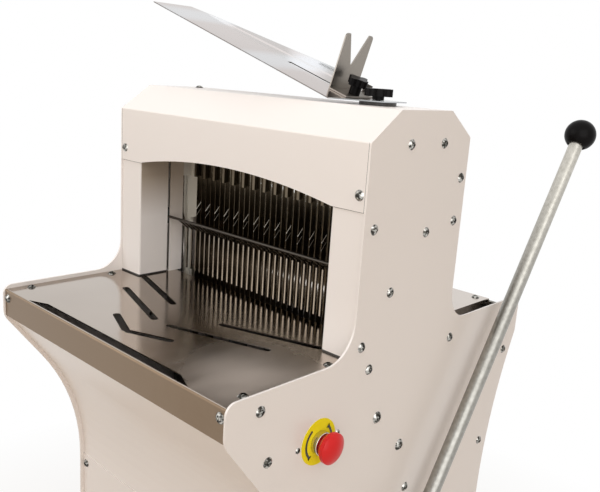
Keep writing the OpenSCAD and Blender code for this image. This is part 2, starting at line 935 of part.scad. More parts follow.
module guide_beam() {
    color("gray") union() {
        box([-frame_half_w, blade_y - guide_beam_w / 2, guide_beam_top - guide_beam_h],
            [frame_half_w, blade_y + guide_beam_w / 2, guide_beam_top]);
        both_sides() box([column_x - block_w / 2, blade_y - block_w / 2, guide_beam_top - guide_beam_h],
                         [column_x + block_w / 2, blade_y + block_w / 2, guide_beam_top]);
    }
}

module guide_columns() {
    high_z = hood_top - beam_drop + stroke / 2 + overrun + bracket_t;
    color("lightgray") both_sides() bar_z(column_x, blade_y, guide_beam_top, high_z, column_r);
}

// Blade frames: a flat ring on each side of the blade row, sliding on the two columns

module blade_frame(y, leg_low) {
    color("lightgray") union() {
        for (z = [lower_z, beam_top - beam_h])
            box([-frame_half_w, y, z], [frame_half_w, y + beam_t, z + beam_h]);
        both_sides() box([column_x - upright_w / 2, y, leg_low], [frame_half_w, y + beam_t, beam_top]);
    }
}

module frame_blocks(low_y, high_y, heights) {
    color("dimgray") both_sides() for (z = heights) difference() {
        box([column_x - block_w / 2, low_y, z - block_h / 2],
            [column_x + block_w / 2, high_y, z + block_h / 2]);
        bar_z(column_x, blade_y, z - block_h, z + block_h, column_r + running_gap);
    }
}

module blade(x) {
    low = lower_z + blade_end_inset;
    high = beam_top - blade_end_inset;
    count = floor((high - low) / scallop);
    step = (high - low) / count;
    yz(x - blade_t / 2, blade_t) polygon(concat(
        [[blade_y - blade_w / 2, high], [blade_y - blade_w / 2, low]],
        [for (k = [0:count - 1], at = [0, 1])
            [blade_y + blade_w / 2 - at * scallop_depth, low + (k + at / 2) * step]],
        [[blade_y + blade_w / 2, high]]));
}

module blades(first) {
    color("gray") for (i = [first:2:blade_count - 1]) blade(blade_x[i]);
}

module blade_tabs(low_y, first) {
    color("silver") for (i = [first:2:blade_count - 1]) union() {
        box([blade_x[i] - tab_w / 2, low_y, table_h + tab_low],
            [blade_x[i] + tab_w / 2, low_y + frame_gap, beam_top]);
        box([blade_x[i] - tab_w / 2, low_y, lower_z],
            [blade_x[i] + tab_w / 2, low_y + frame_gap, lower_z + tab_h]);
    }
}

module front_blade_frame() {
    blade_frame(front_beam_y, lower_z);
}

module front_frame_blocks() {
    frame_blocks(front_beam_y + beam_t, rear_beam_y - block_side_gap, front_block_z);
}

module front_blades() {
    blades(0);
}

module front_blade_tabs() {
    blade_tabs(front_beam_y + beam_t, 0);
}

module rear_blade_frame() {
    strip_x = blade_pitch * blade_count / 2;
    color("lightgray") union() {
        blade_frame(rear_beam_y, rear_block_z[1] - block_h / 2);
        both_sides() xz(rear_beam_y, beam_t) polygon([
            [strip_x, table_h + strip_low + strip_slant], [column_x, table_h + strip_low],
            [column_x, beam_top - beam_h / 2], [strip_x, beam_top - beam_h / 2]
        ]);
    }
}

module rear_frame_blocks() {
    frame_blocks(front_beam_y + beam_t + block_side_gap, rear_beam_y, rear_block_z);
}

module rear_blades() {
    blades(1);
}

module rear_blade_tabs() {
    blade_tabs(rear_beam_y - frame_gap, 1);
}

// Connecting rods, crank shaft and belt drive

module connecting_rods(y) {
    near_x = disc_x + crank_disc_t + rod_bolt_gap;
    color("gray") both_sides() union() {
        box([near_x, y - rod_w / 2, crank_z], [near_x + rod_t, y + rod_w / 2, lower_z]);
        bar_x(near_x, near_x + rod_t, y, crank_z, rod_eye_r);
        bar_x(near_x, near_x + rod_t + rod_bolt_head_h, y, crank_z, rod_bolt_head_r);
    }
}

module front_connecting_rods() {
    connecting_rods(blade_y - stroke / 2);
}

module rear_connecting_rods() {
    connecting_rods(blade_y + stroke / 2);
}

module crank_shaft() {
    color("lightgray") bar_x(-disc_x, disc_x, blade_y, crank_z, crank_shaft_r);
}

module crank_discs() {
    color("dimgray") both_sides() bar_x(disc_x, disc_x + crank_disc_t, blade_y, crank_z, crank_disc_r);
}

module crank_bearings() {
    near_x = plate_x + plate_t;
    color("seagreen") both_sides() difference() {
        union() {
            bar_x(near_x, near_x + bearing_w, blade_y, crank_z, bearing_r);
            box([near_x, blade_y - bearing_flange_w / 2, crank_z - bearing_flange_h / 2],
                [near_x + bearing_flange_t, blade_y + bearing_flange_w / 2, crank_z + bearing_flange_h / 2]);
        }
        bar_x(near_x - overrun, near_x + bearing_w + overrun, blade_y, crank_z, crank_shaft_r + running_gap);
    }
}

module grooved_pulley(y, z, belt_r, bore_r) {
    translate([-pulley_w / 2, y, z]) rotate([0, 90, 0]) rotate_extrude() polygon([
        [bore_r, 0], [belt_r + pulley_rim, 0], [belt_r + pulley_rim, (pulley_w - groove_w) / 2],
        [belt_r - belt_h, (pulley_w - groove_w) / 2], [belt_r - belt_h, (pulley_w + groove_w) / 2],
        [belt_r + pulley_rim, (pulley_w + groove_w) / 2], [belt_r + pulley_rim, pulley_w], [bore_r, pulley_w]
    ]);
}

module driven_pulley() {
    color("dimgray") grooved_pulley(blade_y, crank_z, driven_r, crank_shaft_r);
}

module motor_pulley() {
    color("dimgray") union() {
        grooved_pulley(motor_y, motor_z, driver_r, motor_shaft_r / 2);
        bar_x(-pulley_w / 2, motor_x + motor_shaft_in, motor_y, motor_z, motor_shaft_r);
    }
}

// Outline round both pulleys at one radius offset, with its two straight runs
module belt_outline(offset_r) {
    big = [blade_y, crank_z];
    small = [motor_y, motor_z];
    along = unit(small - big);
    across = acos((driven_r - driver_r) / norm(small - big));
    heading = atan2(along.y, along.x);
    normals = [for (side = [1, -1]) [cos(heading + side * across), sin(heading + side * across)]];
    translate(big) circle(driven_r + offset_r);
    translate(small) circle(driver_r + offset_r);
    polygon([
        big + (driven_r + offset_r) * normals[0], small + (driver_r + offset_r) * normals[0],
        small + (driver_r + offset_r) * normals[1], big + (driven_r + offset_r) * normals[1]
    ]);
}

module drive_belt() {
    color("black") yz(-belt_w / 2, belt_w) difference() {
        belt_outline(0);
        belt_outline(gap - belt_h);
    }
}

module motor() {
    color("slategray") difference() {
        union() {
            bar_x(motor_x, motor_x + motor_len, motor_y, motor_z, motor_r);
            box([motor_x + motor_len / 4, motor_y - motor_foot_w / 2, deck_z],
                [motor_x + 3 * motor_len / 4, motor_y + motor_foot_w / 2, deck_z + motor_foot_t]);
            box([motor_x + motor_len / 4, motor_y - motor_neck_w, deck_z],
                [motor_x + 3 * motor_len / 4, motor_y + motor_neck_w, motor_z]);
            box([motor_x + motor_len / 2, motor_y - terminal_d / 2, motor_z],
                [motor_x + motor_len / 2 + terminal_w, motor_y + terminal_d / 2,
                 motor_z + motor_r + terminal_h]);
        }
        bar_x(motor_x - overrun, motor_x + motor_shaft_in + gap, motor_y, motor_z,
              motor_shaft_r + running_gap);
    }
}

// Holding comb at the outlet: bent fingers on one bar

module holding_comb() {
    bend = [hood_y + comb_setback, table_h + comb_bend_rise];
    color("silver") union() {
        bar_x(-guard_x - comb_bar_over, guard_x + comb_bar_over, comb_y, comb_z, comb_bar_r);
        for (x = finger_x) yz(x - finger_w / 2, finger_w) polygon(strip([
            [comb_y, comb_z + finger_w / 2],
            bend + [finger_w / 2, finger_w / 4],
            [bend.x + finger_w / 2, table_h + comb_tip_rise]
        ], -finger_w));
    }
}

module comb_bushes() {
    near_x = guard_x + sheet_t;
    color("dimgray") both_sides() difference() {
        box([near_x, comb_y - comb_bush_d / 2, comb_z - comb_bush_h / 2],
            [near_x + comb_bush_w, comb_y + comb_bush_d / 2, comb_z + comb_bush_h / 2]);
        bar_x(near_x - overrun, near_x + comb_bush_w + overrun, comb_y, comb_z, comb_bar_r + running_gap);
    }
}

// Pusher: teeth on a beam between two side plates, carried on two slide rods

module pusher_teeth() {
    color("silver") for (x = gap_x)
        box([x - tooth_w / 2, teeth_y, table_h + tooth_rise],
            [x + tooth_w / 2, push_beam_y, table_h + tooth_rise + tooth_h]);
}

module pusher_frame() {
    color("silver") union() {
        box([-side_plate_x, push_beam_y, table_h + push_beam_rise],
            [side_plate_x, pusher_rear_y, table_h + push_beam_rise + push_beam_h]);
        both_sides() {
            yz(side_plate_x, side_plate_t) polygon([
                [pin_y - upright_front - pin_r, table_h - side_plate_low],
                [carriage_y + carriage_len, table_h - side_plate_low],
                [carriage_y + carriage_len, table_h - carriage_top],
                [pusher_rear_y, table_h - carriage_top],
                [pusher_rear_y, table_h + push_beam_rise + push_beam_h],
                [teeth_y + upright_front, table_h + push_beam_rise + push_beam_h],
                [teeth_y + upright_front, table_h - carriage_top],
                [pin_y - upright_front - pin_r, table_h - carriage_top]
            ]);
            bar_x(side_plate_x, side_plate_x + side_plate_t + pin_len, pin_y, pin_z, pin_r);
        }
    }
}

module pusher_carriages() {
    color("dimgray") both_sides() difference() {
        box([carriage_x, carriage_y, table_h - carriage_top - carriage_h],
            [side_plate_x, carriage_y + carriage_len, table_h - carriage_top]);
        bar_y(slide_rod_x, carriage_y - overrun, carriage_y + carriage_len + overrun,
              table_h - slide_rod_drop, slide_rod_r + running_gap);
    }
}

module slide_rods() {
    start = hood_y + rear_table_start;
    color("lightgray") both_sides() union() {
        bar_y(slide_rod_x, start, cross_bar_y, table_h - slide_rod_drop, slide_rod_r);
        box([slide_rod_x - hanger_w / 2, start, table_h - hanger_drop],
            [rear_table_x - sheet_t - gap, start + hanger_t, table_h - sheet_t]);
    }
}

// Lever, cross shaft and slotted arms

module lever_shaft() {
    color("lightgray") bar_x(-half_w - shaft_end, lever_x + hub_w / 2, pivot_y, pivot_z, shaft_r);
}

module shaft_bushes() {
    color("goldenrod") both_sides() difference() {
        union() {
            bar_x(inner_w, half_w + bush_flange_t, pivot_y, pivot_z, bush_r);
            bar_x(half_w, half_w + bush_flange_t, pivot_y, pivot_z, bush_flange_r);
        }
        bar_x(inner_w - overrun, half_w + bush_flange_t + overrun, pivot_y, pivot_z, shaft_r + running_gap);
    }
}

module slotted_arms() {
    color("gray") both_sides() translate([0, pivot_y, pivot_z]) yz(arm_x, arm_t)
    rotate(-arm_lean) difference() {
        union() {
            circle(arm_hub_r);
            polygon([
                [-arm_hub_r, 0], [arm_hub_r, 0], [arm_w / 2, arm_rise - arm_w],
                [arm_w / 2, arm_pin_far + arm_tip], [-arm_w / 2, arm_pin_far + arm_tip],
                [-arm_w / 2, arm_rise - arm_w]
            ]);
        }
        circle(shaft_r + running_gap);
        translate([-arm_slot_w / 2, arm_rise - arm_slot_over])
            square([arm_slot_w, arm_pin_far - arm_rise + 2 * arm_slot_over]);
    }
}

module lever_tube() {
    color("silver") union() {
        difference() {
            translate([lever_x, pivot_y, pivot_z]) rotate([-lever_lean, 0, 0]) difference() {
                cylinder(r = lever_r, h = lever_len - ball_r + ball_seat);
                translate([0, 0, hub_r + lever_wall]) cylinder(r = lever_r - lever_wall, h = lever_len);
            }
            bar_x(lever_x - hub_w / 2, lever_x + hub_w / 2, pivot_y, pivot_z, hub_r - lever_wall);
        }
        difference() {
            bar_x(lever_x - hub_w / 2, lever_x + hub_w / 2, pivot_y, pivot_z, hub_r);
            bar_x(lever_x - hub_w, lever_x + hub_w, pivot_y, pivot_z, shaft_r + hub_bore_clear);
        }
    }
}

module lever_ball() {
    color("black") translate([lever_x, pivot_y, pivot_z]) rotate([-lever_lean, 0, 0]) difference() {
        translate([0, 0, lever_len]) sphere(ball_r);
        translate([0, 0, lever_len - 2 * ball_r])
            cylinder(r = lever_r + running_gap, h = ball_r + ball_seat + running_gap);
    }
}

// Emergency stop on the right panel

module at_stop() {
    translate([half_w, stop_place.x, stop_place.y]) rotate([0, 90, 0]) children();
}

module stop_disc() {
    color("gold") at_stop() difference() {
        cylinder(r = disc_r, h = disc_t);
        translate([0, 0, -overrun]) cylinder(r = stem_r + running_gap, h = disc_t + 2 * overrun);
    }
}

module stop_collar() {
    color("silver") at_stop() difference() {
        translate([0, 0, disc_t]) cylinder(r = collar_r, h = collar_h);
        translate([0, 0, -overrun]) cylinder(r = stem_r + running_gap, h = collar_h + disc_t + 2 * overrun);
    }
}

module stop_button() {
    neck_top = disc_t + collar_h + button_travel + gap;
    dome_h = button_h - button_skirt - button_side;
    dome_r = (button_r * button_r + dome_h * dome_h) / (2 * dome_h);
    color("red") at_stop() union() {
        translate([0, 0, button_travel + gap - panel_t]) cylinder(r = stem_r, h = neck_top + panel_t);
        translate([0, 0, neck_top]) cylinder(r1 = button_r * skirt_share, r2 = button_r, h = button_skirt);
        translate([0, 0, neck_top + button_skirt]) intersection() {
            translate([0, 0, button_h - button_skirt - dome_r]) sphere(dome_r);
            cylinder(r = button_r, h = button_h);
        }
    }
}

module stop_contacts() {
    color("dimgray") at_stop() translate([-contact_w / 2, -contact_w / 2, -panel_t - contact_d])
        cube([contact_w, contact_w, contact_d]);
}

// Bag scoop, its swivel and the V-fork

module on_slope() {
    translate([scoop_bend_x, hood_y, foot_plate_z]) rotate([0, scoop_slope, 0]) children();
}

module bag_scoop() {
    far_x = scoop_bend_x - scoop_len * cos(scoop_slope);
    cut_x = far_x + scoop_cut * cos(scoop_slope);
    rear_angle = atan2(scoop_rear - scoop_rear_far, scoop_len - scoop_cut);
    color("silver") difference() {
        union() {
            intersection() {
                xz(hood_y + scoop_front - overrun, scoop_rear - scoop_front + 2 * overrun)
                    polygon(strip(rounded_path([
                        [scoop_tip_x, foot_plate_z, 0],
                        [scoop_bend_x, foot_plate_z, scoop_bend_r],
                        [far_x, foot_plate_z + scoop_len * sin(scoop_slope), 0]
                    ]), -scoop_t));
                translate([0, hood_y, hood_top]) linear_extrude(scoop_len) polygon([
                    [scoop_tip_x + overrun, scoop_front + tip_inset],
                    [scoop_tip_x + overrun, scoop_rear - tip_inset],
                    [scoop_bend_x, scoop_rear], [cut_x, scoop_rear_far], [far_x - overrun, scoop_end_far],
                    [far_x - overrun, scoop_front], [scoop_bend_x, scoop_front]
                ]);
            }
            on_slope() translate([scoop_cut - scoop_len, scoop_rear_far - 2 * scoop_t, scoop_t / 2])
                rotate(rear_angle) xz(0, scoop_t) polygon([
                    [scoop_t, 0], [scoop_len - scoop_cut - scoop_wall_h, 0],
                    [scoop_len - scoop_cut - scoop_wall_h, scoop_wall_h], [scoop_wall_run, scoop_wall_h],
                    [scoop_t, scoop_t]
                ]);
            bar_z(scoop_pivot.x, scoop_pivot.y, hood_top + gap, foot_plate_z + scoop_t / 2, spacer_r);
        }
        bar_z(scoop_pivot.x, scoop_pivot.y, hood_top, foot_plate_z + spacer_h, stud_r + running_gap);
        on_slope() translate([0, 0, -overrun]) linear_extrude(scoop_t + 2 * overrun) polygon(slot_outline(
            [-scoop_slot_far, scoop_slot_y], [-scoop_slot_near, scoop_slot_y], scoop_slot_w));
    }
}

module scoop_knob() {
    color("black") translate([scoop_pivot.x, scoop_pivot.y, foot_plate_z + scoop_t + gap])
        star_knob(1, knob_hub_h, gap + scoop_t + spacer_h + sheet_t + stud_over);
}

module fork_bracket() {
    color("silver") on_slope() translate([0, 0, scoop_t + gap]) union() {
        difference() {
            translate([-fork_at, scoop_slot_y + fork_side - fork_w / 2, 0])
                cube([fork_at - fork_foot_back, fork_w, fork_t]);
            translate([-scoop_slot_near, scoop_slot_y, -overrun])
                cylinder(r = stud_r + running_gap, h = fork_t + 2 * overrun);
        }
        translate([-fork_at, scoop_slot_y + fork_side, 0]) yz(0, fork_t) polygon(rounded([
            [-fork_w / 2, 0, fork_edge_r],
            [fork_w / 2, 0, fork_edge_r],
            [fork_w / 2, fork_h, fork_tip_r],
            [fork_w / 2 - fork_tip_w, fork_h, fork_edge_r],
            [0, fork_h - fork_notch, fork_edge_r],
            [fork_tip_w - fork_w / 2, fork_h, fork_edge_r],
            [-fork_w / 2, fork_h, fork_tip_r]
        ]));
    }
}

module fork_knob() {
    stud_len = 3 * gap + fork_t + scoop_t + stud_over / 2;
    color("black") on_slope()
    translate([-scoop_slot_near, scoop_slot_y, scoop_t + 2 * gap + fork_t]) union() {
        star_knob(fork_knob_share, fork_knob_hub_h, stud_len);
        translate([0, 0, -stud_len]) cylinder(r = stud_head_r, h = stud_over / 2);
    }
}

// Crumb drawer below the drive deck

module crumb_drawer() {
    low_y = cover_y - sheet_t - gap;
    high_y = low_y + drawer_d;
    half = drawer_w / 2;
    color("silver") union() {
        difference() {
            box([-half, low_y, drawer_z], [half, high_y, drawer_top]);
            box([sheet_t - half, low_y + sheet_t, drawer_z + sheet_t],
                [half - sheet_t, high_y - sheet_t, drawer_top + overrun]);
        }
        box([-half - drawer_plate_lap, low_y, drawer_z - drawer_plate_lap],
            [half + drawer_plate_lap, low_y + sheet_t, drawer_top + drawer_plate_lap]);
        for (side = [-1, 1])
            bar_y(side * grip_w / 2, low_y - grip_reach, low_y + sheet_t / 2, grip_z, grip_r);
        bar_x(-grip_w / 2 - grip_r, grip_w / 2 + grip_r, low_y - grip_reach, grip_z, grip_r);
    }
}

// Screws: each place is listed once and drilled in the sheet that it holds

hood_front_places = [for (side = [-1, 1])
    [side * (inner_w - edge_inset), table_h + outlet_h + hood_screw_rise]];
hood_top_places = [
    [-top_screw_share * inner_w, hood_y + top_screw_depth_share * hood_d]
];
lip_places = [for (side = [-1, 1]) [side * (inner_w - edge_inset), table_h - lip_screw_drop]];
front_table_places = [for (side = [-1, 1], s = table_screw_shares)
    [side * (inner_w - table_screw_inset), nose_y + lip_inset + s * (hood_y - nose_y) + table_screw_inset]];
rear_table_places = [for (side = [-1, 1], y = [rear_table_start, rear_table_end - 2 * rear_screw_inset])
    [side * (rear_table_x - rear_screw_inset), hood_y + rear_screw_inset + y]];
cover_places = [for (side = [-1, 1], s = cover_screw_shares)
    [side * (inner_w - edge_inset), foot_h + base_t + s * (cover_top - foot_h - base_t)]];

rear_cover_places = [for (side = [-1, 1], s = rear_screw_shares)
    [side * (inner_w - edge_inset), foot_h + base_t + s * (table_h - rear_drop - foot_h)]];

module side_screws() {
    for (p = side_screw_places) translate([half_w, p.x, p.y]) rotate([0, 90, 0]) pan_screw(panel_t);
    for (p = bolt_places) translate([half_w, p.x, p.y]) rotate([0, 90, 0])
        screw(bolt_head_r, bolt_head_h, bolt_shank_r, panel_t);
}

module fasteners() {
    color("lightgray") {
        both_sides() side_screws();
        for (side = [-1, 1]) translate([half_w, stop_place.x + side * stop_screw_gap, stop_place.y])
            rotate([0, 90, 0]) screw(small_head_r, small_head_h, screw_shank_r, panel_t);
        for (p = hood_front_places) translate([p.x, hood_y, p.y]) rotate([90, 0, 0]) pan_screw(sheet_t);
        for (p = hood_top_places) translate([p.x, p.y, hood_top]) pan_screw(sheet_t);
        for (p = lip_places) translate([p.x, nose_y + lip_inset, p.y]) rotate([90, 0, 0]) pan_screw(sheet_t);
        for (p = front_table_places) translate([p.x, p.y, table_h]) pan_screw(sheet_t);
        for (p = rear_table_places) translate([p.x, p.y, table_h]) pan_screw(sheet_t);
        for (p = cover_places) translate([p.x, cover_y, p.y]) rotate([90, 0, 0]) pan_screw(sheet_t);
        for (p = rear_cover_places) translate([p.x, ped_rear - apron_inset, p.y]) rotate([-90, 0, 0])
            pan_screw(sheet_t);
    }
}

left_side_panel();
right_side_panel();
hood_cover();
left_guard();
right_guard();
left_inner_wall();
right_inner_wall();
front_table();
rear_table();
apron();
front_cover();
rear_cover();
base_pan();
levelling_feet();
tie_bars();
rear_cross_bar();
drive_deck();
left_drive_plate();
right_drive_plate();
upper_guide_brackets();
guide_beam();
guide_columns();
front_blade_frame();
front_frame_blocks();
front_blades();
front_blade_tabs();
rear_blade_frame();
rear_frame_blocks();
rear_blades();
rear_blade_tabs();
front_connecting_rods();
rear_connecting_rods();
crank_shaft();
crank_discs();
crank_bearings();
driven_pulley();
drive_belt();
motor_pulley();
motor();
holding_comb();
comb_bushes();
pusher_teeth();
pusher_frame();
pusher_carriages();
slide_rods();
lever_shaft();
shaft_bushes();
slotted_arms();
lever_tube();
lever_ball();
stop_disc();
stop_collar();
stop_button();
stop_contacts();
bag_scoop();
scoop_knob();
fork_bracket();
fork_knob();
crumb_drawer();
fasteners();
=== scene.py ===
import json
import math

import bpy
from mathutils import Matrix, Vector


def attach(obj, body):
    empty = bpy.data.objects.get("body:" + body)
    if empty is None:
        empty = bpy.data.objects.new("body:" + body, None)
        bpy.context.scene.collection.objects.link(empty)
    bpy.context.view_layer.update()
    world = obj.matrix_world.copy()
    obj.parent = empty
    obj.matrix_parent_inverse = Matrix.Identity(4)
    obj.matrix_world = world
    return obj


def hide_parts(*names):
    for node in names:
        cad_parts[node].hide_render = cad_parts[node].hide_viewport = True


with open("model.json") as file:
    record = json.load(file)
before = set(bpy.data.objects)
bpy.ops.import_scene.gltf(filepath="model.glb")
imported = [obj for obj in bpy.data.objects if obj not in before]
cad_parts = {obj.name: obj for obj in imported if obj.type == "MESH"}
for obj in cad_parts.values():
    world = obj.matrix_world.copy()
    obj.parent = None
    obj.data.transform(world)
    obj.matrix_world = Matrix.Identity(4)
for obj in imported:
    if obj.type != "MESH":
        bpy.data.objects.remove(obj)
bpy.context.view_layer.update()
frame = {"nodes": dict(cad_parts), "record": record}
node = frame["nodes"]


# Viewpoint: a standing person's eye ahead of the machine's right front corner.
# The camera is level with the hood and rolled a little, as the photograph was held.
eye = Vector((0.7763, -0.8140, 1.1761))
eye_right = Vector((0.72044, 0.69049, 0.06471))
eye_up = Vector((-0.20615, 0.12413, 0.97061))
eye_back = eye_right.cross(eye_up)
bpy.ops.object.select_all(action="DESELECT")
bpy.ops.object.camera_add()
camera = bpy.context.object
facing = Matrix((eye_right, eye_up, eye_back)).transposed().to_4x4()
camera.matrix_world = Matrix.Translation(eye) @ facing
camera.data.sensor_fit = "HORIZONTAL"
camera.data.sensor_width = 36.0
camera.data.lens = 43.07
camera.data.clip_start = 0.02
bpy.context.scene.camera = camera
bpy.context.scene.view_settings.view_transform = "Standard"


# Studio: a pale floor and a white surround, with one wide lamp overhead and three softer ones at the sides.
# The camera and polished metal see the surround and floor as white, and the light that they give paint is weaker.
# The floor's own colour is a warm tan, which shows in the shadow under the machine.
class Socket:
    """A node's output; arithmetic on it adds Math nodes to the same tree."""

    def __init__(self, tree, output):
        self.tree = tree
        self.output = output

    def _math(self, operation, first, second):
        return self.tree.node("ShaderNodeMath", {"operation": operation}, {0: first, 1: second})

    def __add__(self, other):
        return self._math("ADD", self, other)

    def __radd__(self, other):
        return self._math("ADD", other, self)

    def __sub__(self, other):
        return self._math("SUBTRACT", self, other)

    def __rsub__(self, other):
        return self._math("SUBTRACT", other, self)

    def __mul__(self, other):
        return self._math("MULTIPLY", self, other)

    def __rmul__(self, other):
        return self._math("MULTIPLY", other, self)

    def __gt__(self, other):
        return self._math("GREATER_THAN", self, other)

    def __lt__(self, other):
        return self._math("LESS_THAN", self, other)


class Tree:
    """A node tree that is written as calls and expressions."""

    def __init__(self, owner):
        owner.use_nodes = True
        self.owner = owner
        self.nodes = owner.node_tree.nodes
        self.links = owner.node_tree.links
        self.nodes.clear()

    def node(self, kind, settings=None, sockets=None, output=0):
        made = self.nodes.new(kind)
        for name, value in (settings or {}).items():
            setattr(made, name, value)
        for name, value in (sockets or {}).items():
            if isinstance(value, Socket):
                self.links.new(value.output, made.inputs[name])
            else:
                made.inputs[name].default_value = value
        return Socket(self, made.outputs[output]) if made.outputs else None


def seen_directly(tree):
    camera_ray = tree.node("ShaderNodeLightPath", output="Is Camera Ray")
    rays = camera_ray.output.node.outputs
    return camera_ray + Socket(tree, rays["Is Glossy Ray"]) + Socket(tree, rays["Is Transmission Ray"])


white = (1.0, 1.0, 1.0, 1.0)
warm_white = (1.0, 0.985, 0.965, 1.0)
fill_light = 0.40
surround = bpy.data.worlds.new("surround")
bpy.context.scene.world = surround
sky = Tree(surround)
sky.node("ShaderNodeOutputWorld", None, {"Surface": sky.node("ShaderNodeMixShader", None, {
    "Fac": seen_directly(sky),
    1: sky.node("ShaderNodeBackground", None, {"Color": warm_white, "Strength": fill_light}),
    2: sky.node("ShaderNodeBackground", None, {"Color": white, "Strength": 1.0}),
})})

floor_size = 60.0
shadow_reach = 0.3
white_reach = 1.3
shadow_white = 0.75
floor_tan = (0.50, 0.375, 0.25, 1.0)
bpy.ops.object.select_all(action="DESELECT")
bpy.ops.mesh.primitive_plane_add(size=floor_size)
floor = bpy.context.object
floor.name = "studio_floor"
bpy.ops.object.mode_set(mode="EDIT")
bpy.ops.mesh.subdivide(number_cuts=6)
bpy.ops.object.mode_set(mode="OBJECT")
pale = Tree(bpy.data.materials.new("pale_floor"))
ground = pale.node("ShaderNodeTexCoord", output="Object")
reach = pale.node("ShaderNodeVectorMath", {"operation": "LENGTH"}, {0: ground}, output="Value")
share_white = pale.node("ShaderNodeMapRange", None, {
    "Value": reach, "From Min": shadow_reach, "From Max": white_reach, "To Min": shadow_white, "To Max": 1.0})
pale.node("ShaderNodeOutputMaterial", None, {"Surface": pale.node("ShaderNodeMixShader", None, {
    "Fac": share_white * seen_directly(pale),
    1: pale.node("ShaderNodeBsdfDiffuse", None, {"Color": floor_tan}),
    2: pale.node("ShaderNodeEmission", None, {"Color": white, "Strength": 1.0}),
})})
floor.data.materials.append(pale.owner)

lamp_table = [
    ("overhead_lamp", (-0.5, -0.6, 3.1), (0.0, 0.0, 0.9), 2.4, 37.0, False),
    ("front_lamp", (-1.7, -2.4, 1.9), (0.0, 0.0, 0.9), 2.2, 24.5, True),
    ("right_lamp", (2.3, -1.6, 1.8), (0.2, 0.0, 0.8), 3.0, 53.5, True),
    ("back_lamp", (0.6, 2.8, 2.2), (0.0, 0.0, 0.9), 1.6, 16.0, False),
]
for name, place, aim, size, power, mirrored in lamp_table:
    bpy.ops.object.light_add(type="AREA", location=place)
    lamp = bpy.context.object
    lamp.name = name
    lamp.data.size = size
    lamp.data.energy = power
    lamp.visible_glossy = mirrored
    lamp.rotation_euler = (Vector(aim) - Vector(place)).to_track_quat("-Z", "Y").to_euler()


# Base and drive: a steel pan on four black feet carries a painted deck with the motor and the crank shaft.
# Plates and deck are cut sheet in grey primer, the motor and pulleys are iron castings, and the belt is rubber.
def finish(name):
    made = Tree(bpy.data.materials.new(name))
    made.place = made.node("ShaderNodeTexCoord", output="Object")
    return made


def surface(made, sockets):
    shader = made.node("ShaderNodeBsdfPrincipled", None, sockets)
    made.node("ShaderNodeOutputMaterial", None, {"Surface": shader})
    return made.owner


def noise(made, scale, detail=2.0, stretch=(1.0, 1.0, 1.0)):
    place = made.node("ShaderNodeMapping", None, {"Vector": made.place, "Scale": stretch})
    return made.node("ShaderNodeTexNoise", None, {"Vector": place, "Scale": scale, "Detail": detail})


def blend(made, factor, low, high):
    return made.node("ShaderNodeMix", {"data_type": "RGBA"}, {"Factor": factor, 6: low, 7: high}, output=2)


def relief(made, height, depth):
    return made.node("ShaderNodeBump", None, {"Height": height, "Distance": depth, "Strength": 1.0})


def coat(made, *names):
    for name in names:
        node[name].material_slots[0].material = made


def plain(name, low, high, rough, metal, scale, depth, shine=0.5):
    made = finish(name)
    speck = noise(made, scale, 3.0)
    return surface(made, {
        "Base Color": blend(made, speck, low, high),
        "Metallic": metal,
        "Roughness": rough + 0.15 * speck,
        "Specular IOR Level": shine,
        "Normal": relief(made, speck, depth),
    })


def eased(name, made, width, segments=2):
    """The same piece with its sharp edges rounded, as a mould or a deburring wheel leaves them."""
    merge_distance = 0.00001
    least_angle = math.radians(30.0)
    record = frame["record"]
    bpy.ops.object.select_all(action="DESELECT")
    piece = bpy.data.objects.new(name + "_eased", node[name].data.copy())
    bpy.context.scene.collection.objects.link(piece)
    bpy.context.view_layer.objects.active = piece
    piece.select_set(True)
    bpy.ops.mesh.customdata_custom_splitnormals_clear()
    bpy.ops.object.mode_set(mode="EDIT")
    bpy.ops.mesh.select_all(action="SELECT")
    bpy.ops.mesh.remove_doubles(threshold=merge_distance)
    bpy.ops.object.mode_set(mode="OBJECT")
    bpy.ops.object.shade_smooth()
    rounding = piece.modifiers.new("rounding", "BEVEL")
    rounding.width = width
    rounding.segments = segments
    rounding.limit_method = "ANGLE"
    rounding.angle_limit = least_angle
    rounding.use_clamp_overlap = True
    rounding.harden_normals = True
    bpy.ops.object.modifier_apply(modifier=rounding.name)
    piece.data.materials.clear()
    piece.data.materials.append(made)
    body = next(b for b, members in record["behaviour"]["bodies"].items() if name in members)
    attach(piece, body)
    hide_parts(name)


black = plain("black_moulding", (0.004, 0.0035, 0.0035, 1.0), (0.008, 0.007, 0.007, 1.0),
              rough=0.22, metal=0.0, scale=900.0, depth=0.00003, shine=0.06)
eased("levelling_feet", black, width=0.0012, segments=3)
primer = plain("grey_primer", (0.20, 0.205, 0.21, 1.0), (0.27, 0.275, 0.28, 1.0),
               rough=0.45, metal=0.0, scale=300.0, depth=0.00005)
coat(primer, "base_pan", "drive_deck", "left_drive_plate", "right_drive_plate",
     "upper_guide_brackets", "guide_beam")
casting = plain("dark_casting", (0.045, 0.05, 0.055, 1.0), (0.075, 0.08, 0.085, 1.0),
                rough=0.5, metal=0.3, scale=420.0, depth=0.0003)
coat(casting, "motor", "motor_pulley", "driven_pulley", "crank_bearings")
rubber = plain("black_belt_rubber", (0.015, 0.015, 0.015, 1.0), (0.03, 0.03, 0.03, 1.0),
               rough=0.65, metal=0.0, scale=700.0, depth=0.0001)
coat(rubber, "drive_belt")
slide_plastic = plain("dark_slide_plastic", (0.03, 0.03, 0.03, 1.0), (0.05, 0.05, 0.05, 1.0),
                      rough=0.45, metal=0.0, scale=500.0, depth=0.00005)
coat(slide_plastic, "pusher_carriages", "comb_bushes", "stop_contacts")
